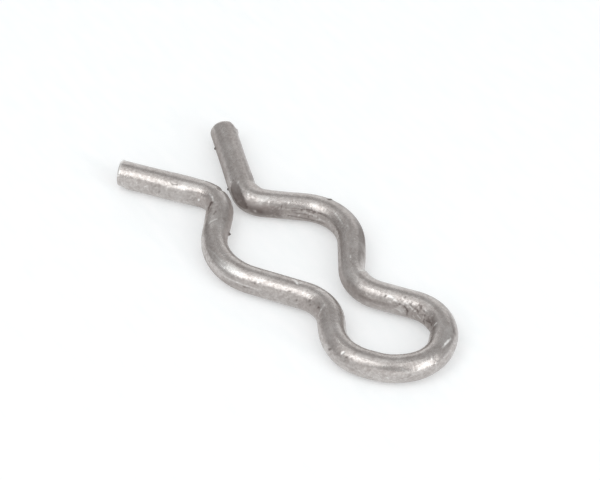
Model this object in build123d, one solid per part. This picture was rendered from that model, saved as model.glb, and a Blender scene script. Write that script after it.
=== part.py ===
from build123d import *
import os

os.makedirs("parts", exist_ok=True)

# A wire spring clip: one length of round hardened wire bent flat on itself.
# The closed end is a round head, then the legs close to a throat, swell to a
# belly, close again to a pinch and end in two straight tails that flare apart.
# Lengths in mm. +X runs to the head, +Y is the left side, +Z is up.

wire_diameter = 3.0
wire_radius = wire_diameter / 2
cut_edge_rounding = 0.4

# Each bend is named by the corner where the straight runs on either side of it
# would meet: how far back from the crown of the head, how far out from the
# middle line of the clip, and the radius the wire's centre follows round it.
head_corner_out = 9.65

left_head_bend = 4.5
left_throat_back = 12.8
left_throat_out = 1.75
left_throat_bend = 4.3
left_belly_back = 22.2
left_belly_out = 8.75
left_belly_bend = 5.7
left_pinch_back = 30.2
left_pinch_out = 0.75
left_pinch_bend = 2.6
left_tail_back = 41.1
left_tail_out = 5.55

right_head_bend = 6.0
right_throat_back = 12.6
right_throat_out = 1.6
right_throat_bend = 4.6
right_belly_back = 24.5
right_belly_out = 8.5
right_belly_bend = 6.6
right_pinch_back = 32.1
right_pinch_out = 1.1
right_pinch_bend = 3.2
right_tail_back = 42.2
right_tail_out = 7.6

# The centre of the wire: from the cut end of the left tail, round the head and
# back to the cut end of the right tail, all in one plane a wire radius up.
left_tail_end = (-left_tail_back, left_tail_out, wire_radius)
left_pinch = (-left_pinch_back, left_pinch_out, wire_radius)
left_belly = (-left_belly_back, left_belly_out, wire_radius)
left_throat = (-left_throat_back, left_throat_out, wire_radius)
left_head = (0, head_corner_out, wire_radius)
right_head = (0, -head_corner_out, wire_radius)
right_throat = (-right_throat_back, -right_throat_out, wire_radius)
right_belly = (-right_belly_back, -right_belly_out, wire_radius)
right_pinch = (-right_pinch_back, -right_pinch_out, wire_radius)
right_tail_end = (-right_tail_back, -right_tail_out, wire_radius)

wire_centre = FilletPolyline(
    left_tail_end,
    left_pinch,
    left_belly,
    left_throat,
    left_head,
    right_head,
    right_throat,
    right_belly,
    right_pinch,
    right_tail_end,
    radius=[
        left_pinch_bend,
        left_belly_bend,
        left_throat_bend,
        left_head_bend,
        right_head_bend,
        right_throat_bend,
        right_belly_bend,
        right_pinch_bend,
    ],
)

# The round section carried along the bent centre gives the whole clip.
start_plane = Plane(origin=wire_centre @ 0, z_dir=wire_centre % 0)
wire_section = start_plane * Circle(wire_radius)
bent_wire = sweep(wire_section, path=wire_centre)

# Both cut ends are square to the tails, their rims rounded over by tumbling.
cut_rims = bent_wire.edges().filter_by(GeomType.CIRCLE)
left_rim = cut_rims.sort_by_distance(left_tail_end)[0]
right_rim = cut_rims.sort_by_distance(right_tail_end)[0]
bent_wire = fillet([left_rim, right_rim], cut_edge_rounding)

# The clip lies flat. The origin is under the middle of its length and width.
outline = bent_wire.bounding_box()
spring_clip = Pos(-outline.center().X, -outline.center().Y, -outline.min.Z) * bent_wire
spring_clip.label = "spring_clip"

export_step(spring_clip, "parts/spring_clip.step")
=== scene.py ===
import math
import random

import bmesh
import bpy
from mathutils import Matrix, Vector, kdtree, noise


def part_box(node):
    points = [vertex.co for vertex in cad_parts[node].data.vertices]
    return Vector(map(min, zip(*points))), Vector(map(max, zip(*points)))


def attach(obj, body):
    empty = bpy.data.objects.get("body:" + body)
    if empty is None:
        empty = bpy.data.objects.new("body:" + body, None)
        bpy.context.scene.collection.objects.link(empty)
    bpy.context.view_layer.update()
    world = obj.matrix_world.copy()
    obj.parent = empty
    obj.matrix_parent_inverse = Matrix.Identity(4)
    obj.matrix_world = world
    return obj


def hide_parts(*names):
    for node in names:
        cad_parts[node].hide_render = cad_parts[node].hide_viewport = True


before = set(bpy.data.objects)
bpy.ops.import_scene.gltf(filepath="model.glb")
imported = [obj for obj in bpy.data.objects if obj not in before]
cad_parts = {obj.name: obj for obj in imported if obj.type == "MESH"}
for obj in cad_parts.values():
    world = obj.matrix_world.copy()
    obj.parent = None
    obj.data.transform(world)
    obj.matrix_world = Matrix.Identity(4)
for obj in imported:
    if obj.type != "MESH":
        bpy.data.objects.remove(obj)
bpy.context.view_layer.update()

# The bent wire: one length of 3 mm hard-drawn steel wire and the whole of the clip. It is fed
# out straight and wrapped round bending pins, so straight runs meet true arcs in one plane, and
# both ends are sheared off and tumbled, which rounds their rims.
millimetre = 0.001
radius_in_millimetres = 1.5
wire_radius = radius_in_millimetres * millimetre
left_rim_rounding = 0.42 * millimetre
right_rim_rounding = 0.24 * millimetre
points_round_wire = 96
ring_gap = 0.105 * millimetre


def bend_corner(back, out, bend):
    """Where two straight runs would meet, and the radius that the wire takes instead."""
    return Vector((-back, out, radius_in_millimetres)) * millimetre, bend * millimetre


left_tail_end = Vector((-41.1, 5.55, radius_in_millimetres)) * millimetre
right_tail_end = Vector((-42.2, -7.6, radius_in_millimetres)) * millimetre
bends = [
    bend_corner(30.2, 0.75, 2.6),
    bend_corner(22.2, 8.75, 5.7),
    bend_corner(12.8, 1.75, 4.3),
    bend_corner(0, 9.65, 4.5),
    bend_corner(0, -9.65, 6.0),
    bend_corner(12.6, -1.6, 4.6),
    bend_corner(24.5, -8.5, 6.6),
    bend_corner(32.1, -1.1, 3.2),
]

wire = bmesh.new()
stations = []


def wire_ring(middle, heading):
    """Starts a short length of wire: its own bmesh, and a ring square to the heading."""
    length = bmesh.new()
    upright = heading.to_track_quat("Z", "Y").to_matrix().to_4x4()
    points = bmesh.ops.create_circle(
        length,
        cap_ends=False,
        segments=points_round_wire,
        radius=wire_radius,
        matrix=Matrix.Translation(middle) @ upright,
    )["verts"]
    return length, points, list(length.edges)


def new_ring(length, edges):
    """Extrudes a ring of edges and gives back the new ring's points and edges."""
    made = bmesh.ops.extrude_edge_only(length, edges=edges)["geom"]
    points = [g for g in made if isinstance(g, bmesh.types.BMVert)]
    ring = [g for g in made if isinstance(g, bmesh.types.BMEdge) and g.is_boundary]
    return points, ring


def lay(length):
    """Adds a finished length to the wire, end to end with the last one."""
    carrier = bpy.data.meshes.new("wire_length")
    length.to_mesh(carrier)
    length.free()
    wire.from_mesh(carrier)
    bpy.data.meshes.remove(carrier)


def note_station(middle, heading, along, curve):
    """Keeps where a ring's middle is, how far along the wire, and how tightly it turns left."""
    stations.append((middle.copy(), heading.copy(), along, curve))


def feed(middle, heading, along, distance):
    """Feeds the wire straight on by a distance."""
    length, points, edges = wire_ring(middle, heading)
    steps = max(1, round(distance / ring_gap))
    stride = heading * (distance / steps)
    bmesh.ops.spin(
        length, geom=points + edges, cent=middle, axis=heading, dvec=stride, angle=0, steps=steps
    )
    lay(length)
    for step in range(1, steps + 1):
        note_station(middle + stride * step, heading, along + stride.length * step, 0.0)
    return middle + heading * distance, along + distance


def wrap(middle, heading, along, radius, turn):
    """Wraps the wire round a bending pin, to the left where turn is positive."""
    length, points, edges = wire_ring(middle, heading)
    side = math.copysign(1, turn)
    pin = middle + Vector((-heading.y, heading.x, 0)) * side * radius
    steps = max(1, round(abs(turn) * radius / ring_gap))
    bmesh.ops.spin(
        length, geom=points + edges, cent=pin, axis=(0, 0, 1), angle=turn, steps=steps
    )
    lay(length)
    for step in range(1, steps + 1):
        part_turn = Matrix.Rotation(turn * step / steps, 3, "Z")
        note_station(
            pin + part_turn @ (middle - pin),
            part_turn @ heading,
            along + abs(turn) * radius * step / steps,
            side / radius,
        )
    whole_turn = Matrix.Rotation(turn, 3, "Z")
    return (
        pin + whole_turn @ (middle - pin),
        whole_turn @ heading,
        along + abs(turn) * radius,
    )


def close_cut_end(middle, outward, rim_rounding):
    """Rounds the rim, lays rings in over the cut face and closes them at its middle."""
    length, points, edges = wire_ring(middle, outward)
    rim_steps = 6
    wide = wire_radius
    for step in range(1, rim_steps + 1):
        points, edges = new_ring(length, edges)
        before = math.radians(90) * (step - 1) / rim_steps
        after = math.radians(90) * step / rim_steps
        stride = outward * rim_rounding * (math.sin(after) - math.sin(before))
        middle = middle + stride
        was_wide = wide
        wide = wire_radius - rim_rounding + rim_rounding * math.cos(after)
        bmesh.ops.translate(length, verts=points, vec=stride)
        bmesh.ops.scale(
            length,
            verts=points,
            vec=Vector((1, 1, 1)) * (wide / was_wide),
            space=Matrix.Translation(-middle),
        )
    face_steps = 10
    for step in range(1, face_steps + 1):
        points, edges = new_ring(length, edges)
        bmesh.ops.scale(
            length,
            verts=points,
            vec=Vector((1, 1, 1)) * (face_steps + 1 - step) / (face_steps + 2 - step),
            space=Matrix.Translation(-middle),
        )
    bmesh.ops.pointmerge(length, verts=points, merge_co=middle)
    lay(length)


heading = (bends[0][0] - left_tail_end).normalized()
middle = left_tail_end + heading * left_rim_rounding
along = left_rim_rounding
note_station(middle, heading, along, 0.0)
close_cut_end(middle, -heading, left_rim_rounding)
corners = [corner for corner, radius in bends] + [right_tail_end]
for (corner, radius), after in zip(bends, corners[1:]):
    next_heading = (after - corner).normalized()
    turn = -heading.xy.angle_signed(next_heading.xy)
    straight = (corner - middle).length - radius * math.tan(abs(turn) / 2)
    middle, along = feed(middle, heading, along, straight)
    middle, heading, along = wrap(middle, heading, along, radius, turn)
straight = (right_tail_end - middle).length - right_rim_rounding
middle, along = feed(middle, heading, along, straight)
close_cut_end(middle, heading, right_rim_rounding)
whole_length = along + right_rim_rounding
bmesh.ops.remove_doubles(wire, verts=wire.verts, dist=0.01 * millimetre)
bmesh.ops.recalc_face_normals(wire, faces=wire.faces)

# Where each point lay while the wire was still straight: millimetres along, degrees round from
# the top towards the left, millimetres out from the middle, how hard its bend squeezes it
# (stretches it where negative), and which way the wire and the point face.
nearest = kdtree.KDTree(len(stations))
for number, station in enumerate(stations):
    nearest.insert(station[0], number)
nearest.balance()
straight_lay = []
for point in wire.verts:
    middle, heading, along, curve = stations[nearest.find(point.co)[1]]
    left = Vector((-heading.y, heading.x, 0))
    offset = point.co - middle
    beyond = offset.dot(heading)
    across = offset - heading * beyond
    straight_lay.append(
        (
            (along + beyond) / millimetre,
            math.degrees(math.atan2(across.dot(left), across.z)),
            across.length / millimetre,
            curve * across.dot(left),
            heading.copy(),
            across.normalized() if across.length > 0 else Vector((0, 0, 1)),
        )
    )

# The bent wire is moved to where the plain solid lies.
cad_corner_low, cad_corner_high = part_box("spring_clip")
low = Vector([min(point.co[axis] for point in wire.verts) for axis in range(3)])
high = Vector([max(point.co[axis] for point in wire.verts) for axis in range(3)])
shift = (cad_corner_low + cad_corner_high) / 2 - (low + high) / 2
shift.z = cad_corner_low.z
bmesh.ops.translate(wire, verts=wire.verts, vec=shift)

# Single marks of the press tool, the bin and the bench, and places painted brighter or darker
# as painted highlight and painted shade. Each runs from one place to another (millimetres along,
# degrees round), with half its width, its depth (raised where negative) and its tone, from bare
# bright metal or painted highlight at 1 or more to packed dirt or painted shade at -1 or less.
marks = [
    # Dirt grains and burrs that stand out of the outline.
    (2.65, -100, 2.85, -88, 0.12, -0.14, -1.2),
    (9.3, -102, 9.45, -90, 0.10, -0.14, -1.2),
    (20.2, 26, 20.3, 42, 0.11, -0.09, -1.2),
    (83.1, -104, 82.8, -90, 0.16, -0.20, -1.2),
    (0.95, 72, 1.05, 96, 0.13, -0.10, 0.0),
    (8.6, 62, 9.3, 64, 0.10, -0.03, -0.5),
    # Bright flecks where the skin is broken through, painted bright for their glints, and the rim
    # of the right tail, painted pale: a painted sheen over a dark reflection there.
    (99.12, -120, 99.12, 120, 0.16, 0.0, 0.75),
    (10.1, -20, 10.2, -25, 0.12, 0.03, 1.0),
    (9.35, -54, 9.4, -50, 0.10, 0.02, 0.7),
    (10.6, -22, 11.2, -22, 0.08, -0.02, 0.6),
    (12.85, -90, 12.8, -84, 0.10, 0.03, 0.8),
    (29.3, -9, 29.65, -8, 0.07, 0.01, 0.8),
    (44.05, -32, 44.15, -44, 0.10, -0.03, 1.3),
    (44.2, -44, 44.3, -62, 0.08, -0.02, 0.8),
    (46.0, 38, 46.4, 32, 0.06, -0.02, 0.9),
    (46.4, 32, 46.9, 29, 0.09, -0.03, 1.3),
    (46.9, 29, 47.4, 28, 0.06, -0.02, 0.9),
    (57.5, 34, 57.6, 46, 0.09, 0.03, 1.2),
    (53.0, 88, 53.1, 82, 0.08, 0.01, 0.7),
    (89.35, 75, 89.4, 79, 0.13, -0.04, 1.8),
    (86.4, -70, 86.5, -66, 0.10, 0.02, 0.9),
    (86.4, -98, 86.1, -84, 0.08, 0.01, 0.7),
    (88.0, -78, 88.1, -66, 0.12, 0.01, 0.6),
    (37.7, -72, 38.0, -84, 0.22, -0.03, 0.5),
    (38.9, -56, 39.3, -62, 0.08, -0.04, 0.9),
    (39.6, -68, 39.9, -62, 0.10, -0.03, 0.7),
    (41.3, -62, 41.5, -78, 0.08, -0.03, 0.7),
    (39.5, -90, 39.7, -96, 0.09, -0.03, 0.6),
    (36.3, -35, 36.7, -33, 0.14, -0.008, 0.4),
    # Thin pale scratches.
    (20.8, -24, 22.2, -21, 0.08, 0.015, 0.4),
    (22.2, -22, 23.4, -27, 0.08, 0.015, 0.6),
    (23.4, -27, 24.2, -27, 0.07, 0.015, 0.4),
    (18.0, -38, 18.1, -64, 0.06, 0.01, 0.6),
    (24.6, -12, 24.9, -10, 0.08, 0.01, 0.5),
    (26.75, 12, 26.8, 13, 0.07, 0.01, 0.7),
    (76.3, 73, 74.9, 70, 0.07, -0.015, 0.5),
    (74.9, 70, 73.9, 72, 0.07, -0.02, 0.7),
    (73.9, 72, 72.4, 72, 0.07, -0.015, 0.6),
    (69.5, -18, 68.6, 4, 0.06, 0.01, 0.7),
    (68.45, -11, 68.9, -2, 0.06, 0.01, 0.6),
    (31.9, -2, 31.8, 20, 0.06, -0.015, 0.5),
    (31.8, 20, 31.7, 50, 0.08, -0.03, 1.0),
    (39.3, -16, 39.6, -3, 0.06, 0.01, 0.5),
    (68.75, 2, 68.9, -8, 0.07, 0.01, 0.5),
    (68.8, -6, 69.4, -24, 0.07, 0.01, 0.6),
    (68.2, -20, 68.6, -8, 0.06, 0.01, 0.4),
    (82.8, 31, 83.4, -2, 0.07, -0.02, 1.0),
    (77.7, -14, 77.8, 4, 0.07, 0.01, 0.4),
    (51.9, 42, 51.3, 62, 0.07, 0.01, 0.4),
    (63.3, 64, 63.9, 38, 0.08, -0.02, 0.6),
    (63.9, 38, 64.4, 16, 0.10, -0.02, 0.5),
    # These three are painted highlight: the highlight run on faintly into the belly bend.
    (76.8, 26, 78.6, 30, 0.12, 0.015, 0.35),
    (78.6, 30, 79.4, 42, 0.12, 0.015, 0.35),
    (76.6, 42, 78.8, 44, 0.12, 0.015, 0.3),
    # Broad places painted brighter or darker than the rest: painted highlights where the bands of
    # light should run further or lie elsewhere, and painted shade where the wire should look darker.
    (19.0, -29, 19.1, -27, 0.40, 0.0, 0.35),
    (21.2, -28, 21.4, -26, 0.50, 0.0, -0.3),
    (13.3, -31, 13.6, -30, 0.35, 0.0, 0.3),
    (11.6, -22, 14.5, -20, 0.35, 0.0, 0.2),
    (12.4, -39, 12.6, -36, 0.25, 0.0, -0.35),
    (12.4, -78, 13.2, -86, 0.30, 0.0, -0.25),
    (31.8, -32, 32.7, -32, 0.35, 0.0, 0.3),
    (40.2, -32, 40.6, -30, 0.50, 0.0, -0.3),
    (65.4, 32, 65.6, 30, 0.40, 0.0, -0.3),
    (74.8, 37, 76.2, 35, 0.45, 0.0, 0.45),
    (90.5, 70, 94.5, 68, 0.80, 0.0, -0.28),
    (65.0, 78, 76.0, 84, 0.70, 0.0, -0.26),
    (56.0, 62, 59.0, 60, 0.70, 0.0, -0.2),
    (20.0, 40, 26.5, 56, 0.60, 0.0, -0.32),
    (32.0, -46, 41.0, -46, 0.35, 0.0, -0.2),
    (39.0, 50, 42.0, 52, 0.60, 0.0, -0.28),
    (45.2, 24, 46.8, 22, 0.45, 0.0, 0.3),
    (54.8, 0, 56.2, 0, 0.50, 0.0, -0.25),
    (75.8, 30, 77.2, 40, 0.40, 0.0, 0.35),
    (79.6, 62, 80.8, 62, 0.60, 0.0, 0.2),
    (89.6, 18, 91.4, 22, 0.40, 0.0, 0.3),
    (50.0, -50, 66.0, -54, 0.30, 0.0, 0.3),
    (66.0, -60, 75.5, -58, 0.30, 0.0, 0.5),
    (60.0, -62, 67.0, -56, 0.34, 0.0, 0.45),
    (11.8, -76, 14.8, -66, 0.55, 0.0, -0.35),
    (14.8, -66, 18.0, -78, 0.40, 0.0, -0.2),
    (42.6, -52, 44.4, -66, 0.70, 0.0, -0.36),
    (44.9, -42, 45.6, -36, 0.35, 0.0, -0.25),
    (23.0, 74, 27.0, 78, 0.60, 0.0, -0.3),
    (25.2, 50, 28.2, 50, 0.55, 0.0, -0.25),
    (28.4, 54, 29.6, 56, 0.50, 0.0, -0.3),
    (25.0, -55, 28.0, -58, 0.35, 0.0, -0.2),
    (79.0, 40, 82.6, 44, 0.60, 0.0, -0.25),
    (30.0, 58, 31.2, 60, 0.35, 0.0, 0.35),
    (34.0, -66, 38.5, -72, 0.40, 0.0, -0.15),
    (84.2, -36, 87.2, -24, 0.90, 0.0, -0.15),
    (84.0, -88, 89.0, -76, 0.40, 0.0, 0.3),
    (9.8, -14, 11.0, -26, 0.60, 0.0, -0.2),
    # Darker strips along the left tail and pinch.
    (13.0, -92, 15.2, -100, 0.50, 0.0, -0.5),
    (0.8, 34, 9.5, 38, 0.80, 0.0, -0.3),
    (0.8, -76, 8.6, -78, 0.45, 0.0, -0.2),
    (10.2, -70, 10.6, -60, 0.30, 0.0, -0.25),
    # Pits and gouges packed with dirt, and the bright lips beside them.
    (9.45, -44, 9.5, -40, 0.08, 0.03, -0.7),
    (15.9, -56, 17.0, -54, 0.08, 0.03, -0.5),
    (17.1, -54, 17.6, -58, 0.07, 0.03, -0.5),
    (17.9, -54, 19.0, -54, 0.09, 0.04, -0.7),
    (19.1, -56, 19.7, -60, 0.08, 0.03, -0.6),
    (19.9, -58, 21.4, -56, 0.08, 0.03, -0.55),
    (21.6, -55, 23.4, -50, 0.08, 0.02, -0.4),
    (16.2, -91, 17.6, -98, 0.09, 0.03, -0.5),
    (17.8, -100, 19.3, -104, 0.09, 0.03, -0.6),
    (19.5, -102, 21.2, -98, 0.09, 0.03, -0.5),
    (17.2, -66, 18.4, -70, 0.08, -0.02, 0.4),
    (18.8, -72, 20.2, -74, 0.12, -0.02, 0.35),
    (20.3, -80, 21.2, -84, 0.12, -0.02, 0.4),
    (18.55, -86, 18.6, -90, 0.09, 0.03, -0.7),
    (20.05, -74, 20.1, -77, 0.08, 0.03, -0.6),
    (19.2, -78, 19.3, -82, 0.08, 0.03, -0.5),
    (23.3, -36, 23.4, -39, 0.12, 0.03, -0.7),
    (23.45, -88, 23.5, -93, 0.10, 0.03, -0.6),
    (15.8, -44, 15.9, -46, 0.09, 0.03, -0.7),
    (15.4, -60, 15.5, -44, 0.06, 0.02, -0.7),
    (16.6, -66, 17.4, -63, 0.07, 0.025, -0.5),
    (17.6, -68, 17.7, -55, 0.07, 0.02, -0.5),
    (18.2, -62, 19.4, -66, 0.07, 0.025, -0.6),
    (16.8, -76, 19.2, -78, 0.06, 0.02, -0.4),
    (17.2, -56, 20.4, -57, 0.06, 0.015, -0.35),
    (16.4, -106, 16.2, -92, 0.08, 0.02, -0.5),
    (22.0, -44, 22.5, -44, 0.08, 0.015, -0.4),
    (23.0, -46, 23.1, -38, 0.07, 0.02, -0.5),
    (36.0, -42, 36.1, -36, 0.07, 0.02, -0.5),
    (37.5, -64, 37.8, -56, 0.09, 0.03, -0.5),
    (38.3, -56, 38.7, -76, 0.10, 0.04, -0.7),
    (38.7, -76, 38.65, -98, 0.09, 0.03, -0.5),
    (38.1, -24, 38.15, -19, 0.08, 0.03, -0.6),
    (40.9, -50, 41.5, -56, 0.14, 0.04, -0.3),
    (42.8, -46, 43.4, -56, 0.22, 0.03, -0.3),
    (41.6, -86, 41.8, -92, 0.12, 0.04, -0.8),
    (39.6, -58, 40.4, -62, 0.07, 0.03, -0.5),
    (40.8, -66, 41.6, -60, 0.08, 0.03, -0.5),
    (41.6, -76, 42.8, -68, 0.08, 0.03, -0.6),
    (42.4, -60, 43.4, -66, 0.10, 0.03, -0.4),
    (43.2, -72, 44.2, -66, 0.08, 0.02, -0.3),
    (40.2, -78, 41.0, -84, 0.08, -0.02, 0.5),
    (41.2, -54, 42.0, -50, 0.06, -0.02, 0.5),
    (37.2, -78, 37.9, -82, 0.08, -0.02, 0.45),
    (44.6, 38, 45.2, 40, 0.14, 0.02, -0.35),
    (51.2, 74, 51.4, 84, 0.08, 0.02, -0.4),
    (58.8, 58, 59.0, 70, 0.09, 0.03, -0.6),
    (57.0, 44, 57.1, 51, 0.09, 0.02, -0.5),
    (57.0, 60, 57.1, 66, 0.08, 0.02, -0.4),
    (54.6, 62, 54.7, 68, 0.08, 0.02, -0.4),
    (64.2, 42, 64.6, 44, 0.13, 0.02, -0.45),
    (68.2, 67, 68.3, 70, 0.08, 0.03, -0.6),
    (66.4, 50, 66.5, 52, 0.10, 0.03, -0.7),
    (64.5, 44, 64.6, 46, 0.11, 0.03, -0.8),
    (66.0, 62, 66.1, 64, 0.10, 0.03, -0.6),
    (45.0, 44, 45.2, 50, 0.20, 0.02, -0.4),
    (69.1, 42, 69.3, 44, 0.10, 0.015, -0.4),
    (73.1, 49, 73.2, 51, 0.10, 0.03, -0.6),
    (73.6, 76, 74.2, 80, 0.12, 0.02, -0.35),
    (92.3, 22, 92.2, 32, 0.07, 0.015, -0.4),
    (92.2, 32, 92.7, 36, 0.07, 0.015, -0.4),
    (92.7, 36, 93.0, 28, 0.07, 0.015, -0.4),
    (84.15, 16, 84.6, 8, 0.08, 0.02, -0.7),
    (94.0, 78, 94.1, 84, 0.08, 0.02, -0.3),
    # The crease where the metal folds in on itself at the tightest bend of the right leg, painted
    # dark as painted shade in the fold, and the ridge beside it, painted bright as a painted
    # highlight.
    (84.6, 45, 85.2, 34, 0.10, 0.04, -0.7),
    (85.7, 52, 86.0, 40, 0.13, 0.06, -1.1),
    (86.0, 42, 86.5, 34, 0.10, 0.04, -0.9),
    (86.3, 36, 86.1, 26, 0.11, 0.05, -1.0),
    (86.15, 46, 86.3, 40, 0.17, 0.05, -1.2),
    (85.2, 50, 85.5, 48, 0.12, 0.04, -1.0),
    (86.1, 24, 86.1, 19, 0.11, -0.03, 0.9),
    (86.5, 26, 87.2, 23, 0.08, -0.04, 0.9),
    (87.2, 24, 88.0, 24, 0.08, -0.03, 0.7),
    # Nicks in the outline: a step above the right pinch, a corner broken off the left tail's
    # cut rim, and the worn side and the raised side of the right tail's rim.
    (88.0, -100, 88.0, -30, 0.22, 0.12, 0.25),
    (0.3, 50, 0.45, 84, 0.28, 0.08, 0.0),
    (98.95, 90, 98.95, 150, 0.60, 0.18, -0.1),
    (99.15, -115, 99.15, -50, 0.18, -0.10, 0.2),
]

# Patches that the tools roughened: middle along and round, half length, half height, and how
# many flecks of the skin are lifted or torn out of each.
rough_patches = [
    (18.2, -78, 4.6, 24, 60),
    (40.2, -64, 3.8, 30, 60),
    (36.5, -42, 3.5, 16, 16),
    (59.0, 55, 5.5, 34, 24),
    (46.5, 42, 2.6, 22, 10),
    (70.0, 66, 7.5, 26, 44),
    (86.0, 38, 2.2, 30, 12),
    (93.5, 74, 6.5, 26, 30),
    (13.6, -36, 2.6, 14, 30),
]

chance = random.Random(3)


def add_mark(along, turned, forth, rise, half_width, depth, tone):
    """Adds one more mark, which runs a short way forth and round from a place."""
    marks.append((along, turned, along + forth, turned + rise, half_width, depth, tone))


for patch_along, patch_turned, half_length, half_height, flecks in rough_patches:
    for number in range(flecks):
        along = patch_along + chance.uniform(-1, 1) * half_length
        turned = patch_turned + chance.uniform(-1, 1) * half_height
        lifted = chance.uniform(-0.4, 0.85)
        forth = chance.uniform(-0.25, 0.25)
        rise = chance.uniform(-9, 9)
        half_width = chance.uniform(0.045, 0.08)
        add_mark(along, turned, forth, rise, half_width, -0.03 * lifted, 0.7 * lifted)

# The left of the head was dragged over something rough, which left slanting hatches.
for number in range(70):
    along = chance.uniform(36.2, 41.6)
    turned = chance.uniform(-72, -32)
    lifted = chance.choice((-0.6, 0.6, 0.9))
    forth = chance.uniform(0.25, 0.55)
    rise = -chance.uniform(2, 16)
    add_mark(along, turned, forth, rise, 0.05, -0.02 * lifted, 0.5 * lifted)

# Small pits and short scratches are strewn over the whole wire.
for number in range(340):
    along = chance.uniform(0.3, whole_length / millimetre - 0.3)
    turned = chance.uniform(-180, 180)
    forth = chance.uniform(-0.08, 0.08)
    rise = chance.uniform(-4, 4)
    half_width = chance.uniform(0.06, 0.12)
    depth = chance.uniform(0.003, 0.011)
    add_mark(along, turned, forth, rise, half_width, depth, chance.uniform(-0.35, 0.12))
for number in range(70):
    along = chance.uniform(0.5, whole_length / millimetre - 0.5)
    turned = chance.uniform(-180, 180)
    forth = chance.uniform(-0.7, 0.7)
    rise = chance.uniform(-35, 35)
    depth = chance.uniform(0.002, 0.006)
    add_mark(along, turned, forth, rise, 0.06, depth, chance.uniform(0.05, 0.3))

# How far a mark reaches, and where the shoulder stands that it pushes up, both in half widths.
# Each millimetre of the wire keeps the marks that reach it.
mark_reach = 3
shoulder_place, shoulder_crispness, shoulder_share = 1.7, 2.5, 0.25
tone_crispness = 0.8
marks_by_millimetre = {}
for mark in marks:
    start_along, _, end_along, _, half_width, _, _ = mark
    first = math.floor(min(start_along, end_along) - half_width * mark_reach)
    last = math.floor(max(start_along, end_along) + half_width * mark_reach)
    for whole in range(first, last + 1):
        marks_by_millimetre.setdefault(whole, []).append(mark)

# Flats that the legs pressed into each other at the pinch and that the bending pins left:
# middle along and round, half length along, depth, and how many degrees round the flat twists
# for each millimetre along. The deepest is painted darker, a painted dark reflection of the other
# leg close beside it.
darkened_flat_depth = 0.2
painted_reflection_tone = 0.48
widest_lean_in_radians = 1.2
pressed_flats = [
    (11.0, -60, 1.25, 0.22, -16),
    (86.4, -60, 1.3, 0.05, 0),
    (46.6, 100, 2.2, 0.03, 0),
    (56.0, -95, 3.0, 0.02, 0),
]

# Beds that the bending pins pressed into the inside of a bend: where one starts and ends along,
# how soon it is at its depth, middle round, half height, depth (raised where negative). A bed
# fades out softly over the last share of its length.
fading_share = 0.6
pin_beds = [
    (9.8, 14.6, 1.2, 78, 64, -0.2),
    (31.75, 27.6, 0.2, 78, 72, 0.15),
    (63.4, 68.0, 1.0, 80, 60, 0.035),
    (19.0, 26.5, 1.5, -85, 58, 0.03),
    (9.6, 12.2, 0.8, -92, 40, 0.1),
    (42.2, 45.2, 0.9, -80, 56, 0.24),
    (45.4, 52.0, 2.0, -65, 74, 0.11),
    (57.0, 64.5, 1.5, -70, 66, 0.08),
    (84.8, 75.5, 3.0, -88, 66, 0.16),
    (85.9, 92.0, 0.2, 92, 60, 0.28),
    (90.0, 95.5, 1.5, -80, 72, -0.08),
    (90.0, 95.5, 1.5, 85, 72, -0.08),
]

# Where the wire strays from a true arc, as hand-set bends do: middle and half length along,
# and how far it strays to the left.
strays = [
    (49.4, 2.4, 0.22),
    (54.9, 1.6, -0.15),
]

# Where a brown, dull film lies, mostly on the underside and on the sides that face the other
# leg: middle along and round, half length, half height, strength. It is thickened all over by
# the same factor.
film_thickening = 1.6
filmed_patches = [
    (4.5, -84, 8.0, 40, 0.6),
    (13.0, -90, 3.0, 50, 0.9),
    (19.0, -96, 7.5, 42, 0.55),
    (30.0, -92, 7.0, 44, 0.6),
    (41.0, -86, 7.0, 44, 0.5),
    (57.0, -115, 14.0, 45, 0.8),
    (75.0, -112, 13.0, 45, 0.85),
    (86.0, -82, 4.5, 44, 0.9),
    (80.5, -72, 5.0, 42, 0.8),
    (80.0, 115, 8.0, 36, 0.7),
    (28.5, -118, 7.0, 36, 0.7),
    (64.0, 60, 2.2, 30, 0.4),
    (86.0, 60, 2.5, 40, 0.6),
    (50.0, 180, 70.0, 44, 0.8),
]


def turn_between(start, end):
    """The short way round the wire from one place to another, in degrees."""
    return (end - start + 180) % 360 - 180


def ease(share):
    """Turns a straight rise from 0 to 1, or past it, into one that starts and ends softly."""
    share = min(1.0, share)
    return share * share * (3 - 2 * share)


def filmed_at(along, turned):
    """How strong the brown film is at a place, from 0 to 1."""
    film = 0.0
    for middle_along, middle_turned, half_length, half_height, strength in filmed_patches:
        out = ((along - middle_along) / half_length) ** 2
        out += (turn_between(middle_turned, turned) / half_height) ** 2
        film = max(film, strength * (1.0 - out))
    return min(1.0, film_thickening * max(0.0, film))


def mark_at(along, turned):
    """Depth and tone that the single marks give one place on the straight wire."""
    depth = 0.0
    tone = 0.0
    for mark in marks_by_millimetre.get(math.floor(along), ()):
        start_along, start_turned, end_along, end_turned, half_width, mark_depth, mark_and_painted_light_tone = mark
        rise = math.radians(turn_between(start_turned, turned)) * radius_in_millimetres
        forth = along - start_along
        long_rise = math.radians(end_turned - start_turned) * radius_in_millimetres
        long_forth = end_along - start_along
        long_square = long_rise**2 + long_forth**2
        share = 0.0
        if long_square > 0:
            share = min(1.0, max(0.0, (rise * long_rise + forth * long_forth) / long_square))
        away = math.hypot(rise - share * long_rise, forth - share * long_forth) / half_width
        if away < mark_reach:
            bed = math.exp(-away * away)
            shoulder = math.exp(-((away - shoulder_place) ** 2) * shoulder_crispness)
            depth += mark_depth * (bed - shoulder_share * shoulder)
            tone += mark_and_painted_light_tone * math.exp(-away * away * tone_crispness)
    return depth, max(-1.2, min(1.2, tone))


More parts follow.
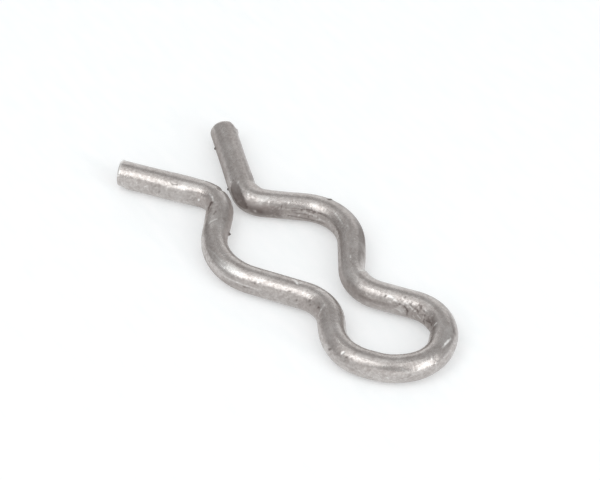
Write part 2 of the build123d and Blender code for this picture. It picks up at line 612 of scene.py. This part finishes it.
def roughened_at(along, turned):
    """How far a place lies inside a roughened patch, from 0 to 1."""
    rough = 0.0
    for middle_along, middle_turned, half_length, half_height, flecks in rough_patches:
        out = ((along - middle_along) / half_length) ** 2
        out += ((turned - middle_turned) / half_height) ** 2
        rough = max(rough, 1.0 - out)
    return max(0.0, rough) ** 0.5


def bedded_at(along, turned):
    """How deep the pins' beds are at a place."""
    sunk = 0.0
    for bed_start, bed_end, crisp_length, bed_turned, half_height, bed_depth in pin_beds:
        lean = turn_between(bed_turned, turned)
        share = (along - bed_start) / (bed_end - bed_start)
        if 0 < share < 1 and abs(lean) < half_height:
            crisp = ease(share * abs(bed_end - bed_start) / crisp_length)
            soft = ease((1 - share) / fading_share)
            sunk += bed_depth * crisp * soft * (1 - (lean / half_height) ** 2) ** 2
    return sunk


def flattened_at(along, turned, sunk, tone):
    """Sinks a place as far as the flats there ask, and paints the deepest one darker as a painted
    reflection.
    """
    for flat_along, flat_turned, half_length, flat_depth, twist in pressed_flats:
        off = (along - flat_along) / half_length
        flat_middle = flat_turned + twist * (along - flat_along)
        lean = math.radians(turn_between(flat_middle, turned))
        if abs(off) < 1 and abs(lean) < widest_lean_in_radians:
            flat_out = (radius_in_millimetres - flat_depth * (1 - off * off)) / math.cos(lean)
            # The deepest flat is painted darker: a painted dark reflection of the other leg.
            if flat_depth > darkened_flat_depth and flat_out < radius_in_millimetres:
                tone -= painted_reflection_tone
            sunk = max(sunk, radius_in_millimetres - flat_out)
    return sunk, tone


# The relief is worked into the bent wire point by point, along with what the material needs
# to know: the place on the straight wire, the tone of marks, the squeeze, the roughness and
# the film. Depths are in millimetres.
waviness = 0.014
dimples, dimples_where_rough = 0.004, 0.008
grain_depth, grain_depth_where_rough = 0.0022, 0.014
wrinkle_depth = 0.0225
thinned_by_stretch = 0.03
# The left tail is worn thinner, and the right tail's end is sheared a little aslant.
worn_tail_depth, worn_tail_end, worn_tail_fade = 0.045, 8.5, 3
slant, slant_start = 0.18, 98.0
cut_face_radius, shear_ridge_height = 1.2, 0.012
straightened = []
tones = []
squeezes = []
roughnesses = []
films = []
for point, (along, turned, out, squeeze, heading, outward) in zip(wire.verts, straight_lay):
    turned_in_radians = math.radians(turned)
    place = Vector((math.cos(turned_in_radians) * out, math.sin(turned_in_radians) * out, along))
    share_out = out / radius_in_millimetres
    roughened = roughened_at(along, turned)
    depth, tone = mark_at(along, turned)
    sunk = depth * min(1.0, share_out) ** 6
    sunk += waviness * noise.noise(place * Vector((0.35, 0.35, 0.28)) + Vector((7, 3, 1)))
    sunk += (dimples + dimples_where_rough * roughened) * noise.noise(place * 1.4)
    grained = grain_depth + grain_depth_where_rough * roughened
    sunk += grained * noise.noise(place * 3.1 + Vector((2, 9, 4)))
    squeezed = max(0.0, squeeze)
    stretched = max(0.0, -squeeze)
    ripple = math.sin(along * 17 + 3 * noise.noise(place * 1.2))
    sunk += wrinkle_depth * squeezed * ripple * (0.6 + noise.noise(place * 2.3))
    sunk += thinned_by_stretch * stretched**2
    sunk += bedded_at(along, turned)
    sunk, tone = flattened_at(along, turned, sunk, tone)
    sunk += worn_tail_depth * min(1.0, max(0.0, (worn_tail_end - along) / worn_tail_fade))
    past_slant_start = min(1.0, max(0.0, along - slant_start))
    aslant = past_slant_start * math.sin(turned_in_radians) * share_out
    point.co -= heading * (slant * aslant * millimetre)
    left = Vector((-heading.y, heading.x, 0))
    for stray_along, stray_length, stray in strays:
        strayed = stray * math.exp(-(((along - stray_along) / stray_length) ** 2))
        point.co += left * strayed * millimetre
    if out > cut_face_radius:
        point.co -= outward * sunk * millimetre
    else:
        ridge = math.sin(place.x * 14 + 2 * noise.noise(place * 1.5))
        ridge_height = shear_ridge_height * ridge * (cut_face_radius - out)
        point.co += heading * (ridge_height * millimetre)
    straightened.append(place)
    tones.append(tone)
    squeezes.append(squeeze)
    roughnesses.append(roughened)
    films.append(filmed_at(along, turned))

# What lies on the floor is worn to it, so that nothing stands below the plain solid.
for point in wire.verts:
    point.co.z = max(point.co.z, cad_corner_low.z)

spring_clip_mesh = bpy.data.meshes.new("spring_clip_wire")
wire.to_mesh(spring_clip_mesh)
wire.free()
for face in spring_clip_mesh.polygons:
    face.use_smooth = True
spring_clip_wire = bpy.data.objects.new("spring_clip_wire", spring_clip_mesh)
bpy.context.scene.collection.objects.link(spring_clip_wire)


def keep_on_points(name, values):
    """Writes one number for each point of the wire, for the material to read."""
    kept = spring_clip_mesh.attributes.new(name, "FLOAT", "POINT")
    kept.data.foreach_set("value", values)


place_kept = spring_clip_mesh.attributes.new("straightened", "FLOAT_VECTOR", "POINT")
place_kept.data.foreach_set("vector", [number for place in straightened for number in place])
keep_on_points("mark_and_painted_light_tone", tones)
keep_on_points("squeeze", squeezes)
keep_on_points("roughened", roughnesses)
keep_on_points("filmed", films)

# The skin of the wire: drawn grey steel, warm in tone, dull where the die and the tumbling
# barrel left it, bright where it is scratched through and where glints and highlights are
# painted, and brown-black where dirt has packed and where shade is painted.
steel = bpy.data.materials.new("drawn_steel_wire")
steel.use_nodes = True
nodes = steel.node_tree.nodes
links = steel.node_tree.links
surface = nodes["Principled BSDF"]


def add_node(kind, **settings):
    node = nodes.new(kind)
    for name, value in settings.items():
        setattr(node, name, value)
    return node


def read_attribute(name, output):
    reader = add_node("ShaderNodeAttribute", attribute_name=name)
    return reader.outputs[output]


def add_noise(place, scale, detail, roughness):
    """A 3-D noise in steps per millimetre of straight wire."""
    made = add_node("ShaderNodeTexNoise")
    made.inputs["Scale"].default_value = scale
    made.inputs["Detail"].default_value = detail
    made.inputs["Roughness"].default_value = roughness
    links.new(place, made.inputs["Vector"])
    return made.outputs["Fac"]


def spread(value, from_low, from_high, to_low, to_high):
    made = add_node("ShaderNodeMapRange", clamp=True)
    made.inputs["From Min"].default_value = from_low
    made.inputs["From Max"].default_value = from_high
    made.inputs["To Min"].default_value = to_low
    made.inputs["To Max"].default_value = to_high
    links.new(value, made.inputs["Value"])
    return made.outputs["Result"]


def combine(operation, first, second):
    made = add_node("ShaderNodeMath", operation=operation)
    for socket, value in zip(made.inputs, (first, second)):
        if isinstance(value, (int, float)):
            socket.default_value = value
        else:
            links.new(value, socket)
    return made.outputs["Value"]


def blend(amount, under, over):
    """Lays the second colour over the first where the amount is high."""
    made = add_node("ShaderNodeMix", data_type="RGBA")
    links.new(amount, made.inputs["Factor"])
    for socket, value in ((made.inputs[6], under), (made.inputs[7], over)):
        if isinstance(value, tuple):
            socket.default_value = (*value, 1)
        else:
            links.new(value, socket)
    return made.outputs[2]


place_read = read_attribute("straightened", "Vector")
drawn_out = add_node("ShaderNodeMapping")
drawn_out.inputs["Scale"].default_value = (1, 1, 0.05)
links.new(place_read, drawn_out.inputs["Vector"])
mottle = add_noise(place_read, 3.6, 5, 0.62)
grain = add_noise(place_read, 9.0, 3, 0.6)
patch = add_noise(place_read, 0.55, 3, 0.5)
streak = add_noise(drawn_out.outputs["Vector"], 7.0, 4, 0.6)
mark_and_painted_light_tone = read_attribute("mark_and_painted_light_tone", "Fac")
squeeze_read = read_attribute("squeeze", "Fac")
roughened_read = read_attribute("roughened", "Fac")
film_mottle = add_noise(place_read, 1.9, 5, 0.65)
film = combine("MULTIPLY", read_attribute("filmed", "Fac"), spread(film_mottle, 0.3, 0.6, 0.45, 1.0))

plain_steel = (0.598, 0.567, 0.548)
dull_steel = (0.422, 0.384, 0.367)
pale_steel = (0.742, 0.715, 0.697)
bare_steel_and_glint = (0.97, 0.966, 0.948)
packed_dirt_and_shade = (0.096, 0.07, 0.061)
brown_film = (0.352, 0.298, 0.279)

tone = blend(spread(mottle, 0.38, 0.64, 0.0, 0.85), dull_steel, plain_steel)
tone = blend(spread(patch, 0.5, 0.75, 0.0, 0.5), tone, pale_steel)
tone = blend(spread(streak, 0.55, 0.75, 0.0, 0.3), tone, pale_steel)
tone = blend(spread(grain, 0.62, 0.75, 0.0, 0.5), tone, pale_steel)
tone = blend(spread(grain, 0.36, 0.27, 0.0, 0.6), tone, brown_film)
tone = blend(spread(squeeze_read, 0.12, 0.4, 0.0, 0.35), tone, brown_film)
tone = blend(spread(film, 0.0, 1.0, 0.0, 0.62), tone, brown_film)
# Bright marks: bare scratched metal, painted glints and painted highlights.
tone = blend(spread(mark_and_painted_light_tone, 0.05, 1.0, 0.0, 0.8), tone, bare_steel_and_glint)
# Dark marks: packed dirt, painted shade and painted dark reflections.
tone = blend(spread(mark_and_painted_light_tone, -0.05, -1.0, 0.0, 0.85), tone, packed_dirt_and_shade)
links.new(tone, surface.inputs["Base Color"])

dullness = spread(mottle, 0.3, 0.7, 0.34, 0.24)
dullness = combine("ADD", dullness, spread(streak, 0.3, 0.7, 0.04, -0.03))
dullness = combine("ADD", dullness, spread(roughened_read, 0.0, 1.0, 0.0, 0.05))
dullness = combine("ADD", dullness, spread(film, 0.0, 1.0, 0.0, 0.35))
dullness = combine("ADD", dullness, spread(mark_and_painted_light_tone, -0.1, -0.8, 0.0, 0.35))
links.new(dullness, surface.inputs["Roughness"])
# Strong marks and the brown film lose most of their metal, so the bright marks turn a matte
# near-white that shows under any lamp: a painted glint.
mark_strength = combine("ABSOLUTE", mark_and_painted_light_tone, 0)
bare_of_skin = combine(
    "MULTIPLY", spread(mark_strength, 0.5, 1.0, 1.0, 0.3), spread(film, 0.0, 1.0, 1.0, 0.2)
)
links.new(bare_of_skin, surface.inputs["Metallic"])

grain_bump = add_node("ShaderNodeBump")
grain_bump.inputs["Strength"].default_value = 1.0
grain_bump.inputs["Distance"].default_value = 0.004 * millimetre
links.new(grain, grain_bump.inputs["Height"])
mottle_bump = add_node("ShaderNodeBump")
mottle_bump.inputs["Strength"].default_value = 1.0
mottle_bump.inputs["Distance"].default_value = 0.014 * millimetre
links.new(mottle, mottle_bump.inputs["Height"])
links.new(grain_bump.outputs["Normal"], mottle_bump.inputs["Normal"])
die_line_bump = add_node("ShaderNodeBump")
die_line_bump.inputs["Strength"].default_value = 0.5
die_line_bump.inputs["Distance"].default_value = 0.006 * millimetre
links.new(streak, die_line_bump.inputs["Height"])
links.new(mottle_bump.outputs["Normal"], die_line_bump.inputs["Normal"])
links.new(die_line_bump.outputs["Normal"], surface.inputs["Normal"])
spring_clip_mesh.materials.append(steel)

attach(spring_clip_wire, "root")
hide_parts("spring_clip")

# The set: a white paper floor under a white light tent, with seven soft lamps round it. The
# camera and the steel see the paper glow a little, which keeps it white round the soft shadow.
floor_shape = bmesh.new()
bmesh.ops.create_grid(floor_shape, x_segments=1, y_segments=1, size=1.5)
floor_mesh = bpy.data.meshes.new("paper_floor")
floor_shape.to_mesh(floor_mesh)
floor_shape.free()
paper_floor = bpy.data.objects.new("paper_floor", floor_mesh)
bpy.context.scene.collection.objects.link(paper_floor)
paper = bpy.data.materials.new("white_paper")
paper.use_nodes = True
paper_nodes = paper.node_tree.nodes
paper_links = paper.node_tree.links
paper_surface = paper_nodes["Principled BSDF"]
paper_surface.inputs["Roughness"].default_value = 0.9
paper_surface.inputs["Specular IOR Level"].default_value = 0.1
paper_surface.inputs["Emission Strength"].default_value = 0.325
paper_place = paper_nodes.new("ShaderNodeTexCoord")
fibre_way = paper_nodes.new("ShaderNodeMapping")
fibre_way.inputs["Rotation"].default_value = (0, 0, math.radians(-50))
fibre_way.inputs["Scale"].default_value = (250, 1300, 1)
fibre = paper_nodes.new("ShaderNodeTexNoise")
fibre.inputs["Scale"].default_value = 1.0
fibre.inputs["Detail"].default_value = 5
fibre_tint = paper_nodes.new("ShaderNodeMix")
fibre_tint.data_type = "RGBA"
fibre_tint.inputs[6].default_value = (0.655, 0.695, 0.705, 1)
fibre_tint.inputs[7].default_value = (0.785, 0.775, 0.78, 1)
paper_links.new(paper_place.outputs["Object"], fibre_way.inputs["Vector"])
paper_links.new(fibre_way.outputs["Vector"], fibre.inputs["Vector"])
paper_links.new(fibre.outputs["Fac"], fibre_tint.inputs["Factor"])
paper_links.new(fibre_tint.outputs[2], paper_surface.inputs["Base Color"])
seen_by = paper_nodes.new("ShaderNodeLightPath")
camera_or_glossy = paper_nodes.new("ShaderNodeMath")
camera_or_glossy.operation = "MAXIMUM"
seen = paper_nodes.new("ShaderNodeMath")
seen.operation = "MAXIMUM"
paper_links.new(seen_by.outputs["Is Camera Ray"], camera_or_glossy.inputs[0])
paper_links.new(seen_by.outputs["Is Glossy Ray"], camera_or_glossy.inputs[1])
paper_links.new(camera_or_glossy.outputs["Value"], seen.inputs[0])
paper_links.new(seen_by.outputs["Is Transmission Ray"], seen.inputs[1])
paper_links.new(seen.outputs["Value"], paper_surface.inputs["Emission Color"])
floor_mesh.materials.append(paper)

tent = bpy.data.worlds.new("light_tent")
bpy.context.scene.world = tent
tent.use_nodes = True
tent.node_tree.nodes["Background"].inputs["Color"].default_value = (1, 1, 1, 1)
tent.node_tree.nodes["Background"].inputs["Strength"].default_value = 0.5


def soft_lamp(name, azimuth, elevation, width, height, power):
    """A soft box half a metre off that faces the clip from a compass direction, in degrees."""
    lamp = bpy.data.lights.new(name, "AREA")
    lamp.shape = "RECTANGLE"
    lamp.size = width
    lamp.size_y = height
    lamp.energy = power
    lamp.color = (0.98, 1.0, 1.0)
    holder = bpy.data.objects.new(name, lamp)
    bpy.context.scene.collection.objects.link(holder)
    turn, rise = math.radians(azimuth), math.radians(elevation)
    towards = Vector(
        (math.cos(turn) * math.cos(rise), math.sin(turn) * math.cos(rise), math.sin(rise))
    )
    holder.location = towards * 0.5
    holder.rotation_euler = towards.to_track_quat("Z", "Y").to_euler()


soft_lamp("front_soft_lamp", -96, 53, 0.25, 0.34, 0.51)
soft_lamp("side_soft_lamp", 13, 28, 0.3, 0.38, 0.72)
soft_lamp("overhead_fill", 10, 68, 0.26, 0.26, 0.2)
soft_lamp("crown_fill", -160, 72, 0.34, 0.3, 0.18)
soft_lamp("low_front_fill", -60, 14, 0.6, 0.26, 0.28)
soft_lamp("low_side_fill", -15, 8, 0.4, 0.2, 0.14)
soft_lamp("back_fill", 140, 17, 0.6, 0.3, 0.3)

# The camera stands where the photographer's did, well back from the clip's head end and towards
# its right leg, and looks down on it.
camera_azimuth = math.radians(52.67)
camera_elevation = math.radians(44.39)
camera_distance = 0.3769
looked_at = Vector((-0.0025, 0.00283, 0.0))
back = Vector(
    (
        math.sin(camera_azimuth) * math.cos(camera_elevation),
        -math.cos(camera_azimuth) * math.cos(camera_elevation),
        math.sin(camera_elevation),
    )
)
view = bpy.data.cameras.new("camera")
view.lens = 210
view.sensor_width = 36
view.clip_start = 0.01
camera = bpy.data.objects.new("camera", view)
bpy.context.scene.collection.objects.link(camera)
camera.location = looked_at + back * camera_distance
camera.rotation_euler = back.to_track_quat("Z", "Y").to_euler()
bpy.context.scene.camera = camera
bpy.context.scene.view_settings.view_transform = "Standard"
